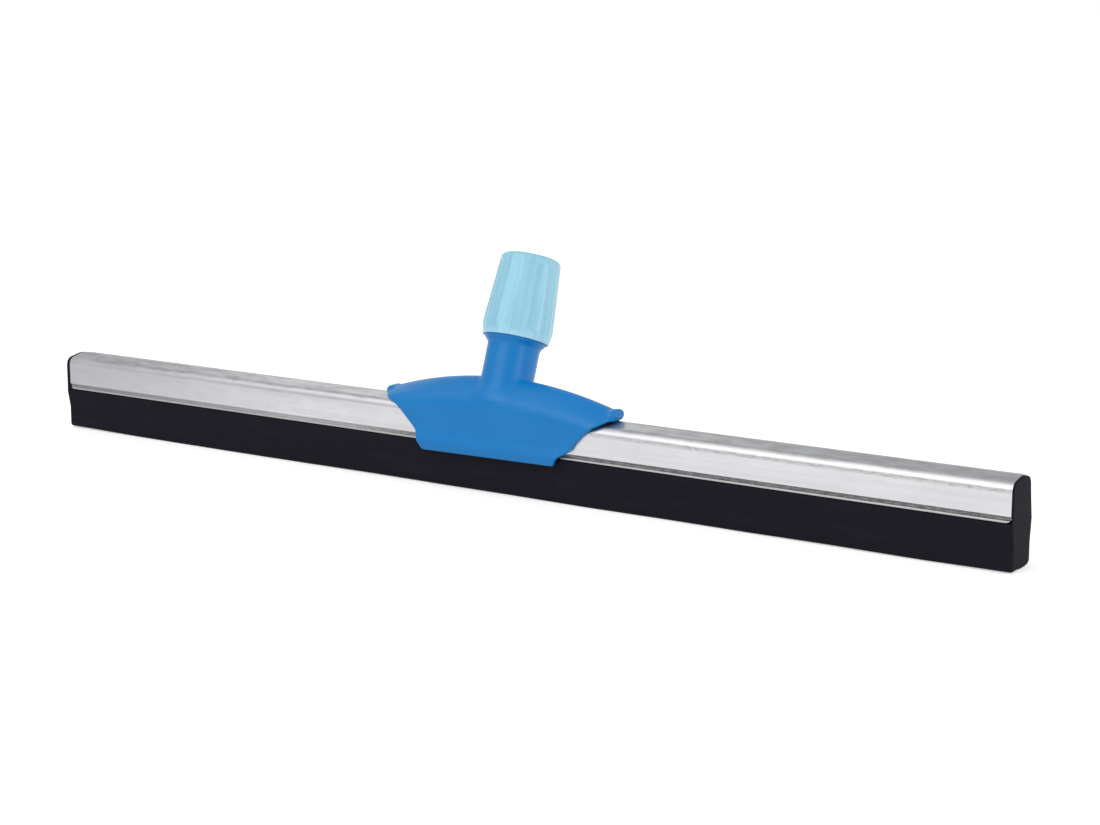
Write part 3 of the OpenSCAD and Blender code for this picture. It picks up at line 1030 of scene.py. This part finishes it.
        # The neck blends tightly over the channel, and widely into the front of the roof.
        reach = 0.3 + 1.2 * fade(z, 44, 48) + 3.4 * fade(-y, 6.5, 12.5) * fade(z, 47, 51)
        body = soft_min(block, neck, reach)
        hollow = soft_max(self.cavity(x, y, z), -neck, 0.8)
        body = soft_max(body, -hollow, 0.7)
        for end in (-1, 1):
            body = soft_min(body, self.bead(x, y, z, end), self.bead_bend)
        passage = soft_max(np.abs(y) - self.cavity_half, z - self.passage_top(y), 0.3)
        body = soft_max(body, -passage, 0.3)
        radius, s = AXIS.seen_from(x + AXIS.x, y, z)
        bore = soft_max(radius - self.bore_radius, self.bore_floor - s, 0.8)
        return soft_max(body, -bore, 0.5)

    def moulding(self) -> Piece:
        """Builds the saddle and the neck in one skin."""
        margin = 1.5
        low = (AXIS.x - self.tip - margin, -18.0, self.lip_z - margin)
        high = (AXIS.x + self.tip + margin, 30.5, 86.0)
        vertices, faces = net_surface(self.field, low, high, self.cell)
        return make_piece("socket_moulding", vertices, faces, 70)

    def collar_section(self) -> Array:
        """Radius and height of the collar's outside, from its foot to its rounded rim.

        The foot is a few hundredths proud of the neck and hides the end of the moulding's skin.
        """
        proud, round_by = self.neck_radius + 0.03, self.collar_round
        s = np.linspace(self.collar_foot, self.seat_s - round_by, 34)
        radius = soft_line(s, [
            (self.collar_foot, proud), (32.4, proud), (33.6, 14.5), (34.4, 15.2), (35.3, 16.1),
            (36.4, self.collar_radius), (38, self.collar_radius),
        ], 0.35)[0]
        turn = np.radians([20, 40, 60, 80, 90])
        rim_radius = radius[-1] - round_by * (1 - np.cos(turn))
        rim_s = self.seat_s - round_by * (1 - np.sin(turn))
        flare, rim = np.stack([radius, s], axis=1), np.stack([rim_radius, rim_s], axis=1)
        return np.concatenate([flare, rim])

    def spigot(self) -> Piece:
        """Builds the flared collar and the threaded spigot: a section turned about the axis.

        The thread is a rounded ridge, added to the radius, that climbs one pitch in each turn
        and fades out at both ends. Inside is the conical mouth over the bore.
        """
        top, bore = self.spigot_top, self.bore_radius + 0.02
        collar = self.collar_section()
        thread = np.linspace(self.seat_s, top - 0.5, 110)
        radius = np.full(len(thread), self.spigot_radius)
        ending = np.array([
            [self.spigot_radius - 0.15, top - 0.15], [self.spigot_radius - 0.5, top],
            [self.mouth_rim_radius + 0.3, top], [self.mouth_rim_radius, top - 0.3],
            [self.mouth_foot_radius, self.mouth_foot], [bore, self.mouth_foot - 0.05],
            [bore, self.collar_foot],
        ])
        section = np.concatenate([collar, np.stack([radius, thread], axis=1), ending])
        radius, s = section[:, :1], section[:, 1:]
        angle = np.linspace(0, 2 * math.pi, self.turn_steps, endpoint=False)[None, :]
        climb = (s - self.seat_s - self.pitch / 2) / self.pitch - angle / (2 * math.pi)
        near = np.abs(climb - np.round(climb)) * self.pitch
        foot, crest = self.pitch * 0.27, self.pitch * 0.07
        ridge = fade(-near, -foot, -crest)
        ends = fade(s, self.seat_s + 1.2, self.seat_s + 3.5) * fade(-s, -top + 1.2, -top + 3.2)
        place = np.arange(len(s))[:, None] - len(collar)
        on_thread = (place >= 0) & (place < len(thread))
        radius = radius + on_thread * self.thread_depth * ridge * ends
        return AXIS.turned("socket_spigot", radius, s, angle, 45)

    def build(self) -> None:
        """Makes both pieces, dresses them and puts them on the head."""
        finish = MouldedFinish(
            "blue_plastic", (0.002, 0.200, 0.550, 1), (0.008, 0.222, 0.590, 1), 0.30,
            flow=Noise(45.0, 3.0, 0.55, (0.6, 1, 1.4)),
        ).material()
        for piece in (self.moulding(), self.spigot()):
            attach(piece, finish, Body.HEAD, "handle_socket")


# ---- Nut and collet


@dataclass
class ClampNut:
    """Clamping nut: tapered, fluted outside over a smooth foot, stepped bore inside.

    Its foot is hollowed round the collar, whose top stands in the hollow.
    """

    foot: float = 36.5
    top: float = 81.5
    foot_radius: float = 17.7
    belly_radius: float = 18.9
    belly: float = 42.8
    top_radius: float = 15.95
    rim: float = 3.2
    hollow: float = 0.9
    cavity_radius: float = 15.8
    cavity_top: float = 60.4
    puller_radius: float = 13.3
    puller_top: float = 64.4
    pocket_radius: float = 14.6
    pocket_top: float = 68.0
    throat: float = 11.9
    flutes: int = 14
    flute_steps: int = 20
    flute_depth: float = 0.85
    flute_phase: float = math.radians(8.4)

    def shell(self) -> Piece:
        """Builds the nut: a closed section turned about the axis.

        A flute lowers the radius by depth times (1 - v^2), where v runs from -1 to 1 between
        ridges. It fades out over the foot and the rim.
        """
        outside = spread_points(rounded_path([
            (self.foot_radius - 0.45, self.foot), (self.foot_radius, self.foot + 0.08),
            (self.belly_radius, self.belly), (self.top_radius, self.top - 0.2),
            (self.throat + 0.3, self.top), (self.throat, self.top - 0.3),
        ], [0, 0.05, 14, self.rim, 0, 0], 9), 0.7)
        hollow_s = self.foot + self.hollow
        inside = spread_points(np.array([
            (self.throat, self.pocket_top), (self.pocket_radius, self.pocket_top),
            (self.pocket_radius, self.puller_top), (self.puller_radius, self.puller_top),
            (self.puller_radius, self.cavity_top), (self.cavity_radius, self.cavity_top),
            (self.cavity_radius, hollow_s + 0.3), (self.cavity_radius + 0.3, hollow_s),
            (self.foot_radius - 0.65, hollow_s), (self.foot_radius - 0.5, self.foot + 0.05),
        ], float), 3.0)
        section = np.concatenate([outside, inside])
        radius, s = section[:, :1], section[:, 1:]
        steps = self.flutes * self.flute_steps
        angle = np.linspace(0, 2 * math.pi, steps, endpoint=False)[None, :]
        v = ((angle - self.flute_phase) * self.flutes / (2 * math.pi)) % 1 * 2 - 1
        reach = fade(s, self.foot + 1.8, self.foot + 6.5) * fade(-s, -self.top + 1.2, -self.top + 7)
        reach = reach * (np.arange(len(section)) < len(outside))[:, None]
        bowl = 1 - soft_max(np.abs(v), np.zeros_like(v), 0.4) ** 2
        radius = radius - self.flute_depth * reach * np.maximum(bowl, 0)
        return AXIS.turned("lock_nut_shell", radius, s, angle, 38)

    def build(self) -> None:
        """Makes the nut, dresses it and puts it on its body."""
        # The nut's foot gets a painted highlight from the pale colour.
        finish = MouldedFinish(
            "light_blue_plastic", (0.285, 0.610, 0.765, 1), (0.440, 0.770, 0.900, 1), 0.27,
            shine=0.55, scatter=0.06, flow=Noise(45.0, 3.0, 0.55, (9.0, 9.0, 0.45)),
            flow_share=0.45, turn=(AXIS.tilt, 0, 0), foot_highlight_span=(0.0785, 0.0830),
        ).material()
        attach(self.shell(), finish, Body.NUT, "lock_nut")


class Collet:
    """Split sleeve inside the nut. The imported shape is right, so it only gets its finish."""

    def build(self) -> None:
        """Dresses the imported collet."""
        finish = MouldedFinish(
            "collet_plastic", (0.74, 0.75, 0.76, 1), (0.82, 0.83, 0.84, 1), 0.40, scatter=0.05,
        ).material()
        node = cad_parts["clamping_collet"]
        node.data.materials.clear()
        node.data.materials.append(finish)
        LOG.info("dressed clamping_collet")


# ---- Studio


@dataclass(frozen=True)
class Lamp:
    """Soft box: its place, and its width and height, in millimetres, and its power in watts."""

    name: str
    place: Triple
    size: Span
    power: float


BOXES = (
    Lamp("left_box", (-207, -1161, 787), (1000, 1000), 5.0),
    Lamp("right_box", (1258, -300, 337), (380, 1000), 3.8),
    Lamp("back_right_box", (1060, 760, 480), (500, 700), 2.4),
    Lamp("back_left_box", (-1360, 1174, 858), (1300, 700), 1.7),
)


def hang(data: bpy.types.ID, place: Vector, aim: Vector, roll: float = 0.0) -> Piece:
    """Hangs a camera or light.

    Args:
        data: Its data.
        place: Its place in metres.
        aim: Direction that it looks in.
        roll: Angle in radians that it is rolled by.

    Returns:
        The new object.
    """
    made = bpy.data.objects.new(data.name, data)
    turn = aim.to_track_quat("-Z", "Y").to_matrix() @ Matrix.Rotation(roll, 3, "Z")
    made.matrix_world = Matrix.Translation(place) @ turn.to_4x4()
    bpy.context.scene.collection.objects.link(made)
    return made


@dataclass
class Studio:
    """White floor, even daylight, a soft sun, soft boxes in front and behind, and the camera.

    The camera's bearing, drop and roll are radians.
    """

    target: Triple = (40.2, 0.0, 44.9)
    distance: float = 1143.36
    bearing: float = 0.585902
    drop: float = 0.1962408
    roll: float = 0.0016
    floor_half: float = 60000.0
    floor_sink: float = 0.02
    floor_glow: float = 0.48
    sky_colour: Colour = (0.97, 0.985, 1.0, 1)
    sky_strength: float = 0.55

    def camera(self) -> None:
        """Places the camera so that the view matches at 1100 by 825 pixels."""
        aim = Vector((
            -math.sin(self.bearing) * math.cos(self.drop),
            math.cos(self.bearing) * math.cos(self.drop),
            -math.sin(self.drop),
        ))
        data = bpy.data.cameras.new("camera")
        data.lens = 72.0
        data.sensor_width = 36.0
        data.clip_start = 0.01
        place = Vector(self.target) * MM - aim * self.distance * MM
        bpy.context.scene.camera = hang(data, place, aim, self.roll)

    def floor(self) -> None:
        """Lays the floor: pale for light that bounces, white for the camera and reflections."""
        half, z = self.floor_half, -self.floor_sink
        corners = np.array([(-half, -half, z), (half, -half, z), (half, half, z), (-half, half, z)])
        floor = make_piece("floor", corners, np.array([[0, 1, 2, 3]]))
        g = new_graph("floor")
        camera, gloss = [
            g.node("ShaderNodeLightPath", {}, {}, f"Is {kind} Ray") for kind in ("Camera", "Glossy")
        ]
        g.surface({
            "Base Color": (0.82, 0.82, 0.82, 1),
            "Roughness": 0.9,
            "Specular IOR Level": 0.0,
            "Emission Color": (1, 1, 1, 1),
            "Emission Strength": camera.math("MAXIMUM", camera, gloss) * self.floor_glow,
        })
        floor.data.materials.append(g.owner)

    def sky(self) -> None:
        """Sets the even light, and the white that the camera sees."""
        world = bpy.data.worlds.new("studio")
        bpy.context.scene.world = world
        g = Graph(world)
        camera = g.node("ShaderNodeLightPath", {}, {}, "Is Camera Ray")
        light, white = [
            g.node("ShaderNodeBackground", {}, {"Color": colour, "Strength": strength})
            for colour, strength in ((self.sky_colour, self.sky_strength), ((1, 1, 1, 1), 1.0))
        ]
        both = g.node("ShaderNodeMixShader", {}, {0: camera, 1: light, 2: white})
        g.node("ShaderNodeOutputWorld", {}, {"Surface": both})

    def sun(self) -> None:
        """Hangs the broad key light, which falls evenly on the whole floor."""
        data = bpy.data.lights.new("key", "SUN")
        data.energy = 0.45
        data.angle = math.radians(50)
        hang(data, Vector(), Vector((0.45, 0.55, -1.0)))

    def box(self, lamp: Lamp) -> None:
        """Hangs a soft box that points at the middle of the head."""
        data = bpy.data.lights.new(lamp.name, "AREA")
        data.shape = "RECTANGLE"
        data.size, data.size_y = lamp.size[0] * MM, lamp.size[1] * MM
        data.energy = lamp.power
        place = Vector(lamp.place)
        hang(data, place * MM, Vector(self.target) - place).visible_camera = False

    def build(self) -> None:
        """Sets up the whole studio."""
        self.camera()
        self.floor()
        self.sky()
        self.sun()
        for lamp in BOXES:
            self.box(lamp)
        bpy.context.scene.view_settings.view_transform = "Standard"
        LOG.info("studio set")


def main() -> None:
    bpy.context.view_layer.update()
    Studio().build()
    for part in (ChannelHead(), HandleSocket(), ClampNut(), Collet()):
        part.build()


if __name__ == "__main__":
    main()
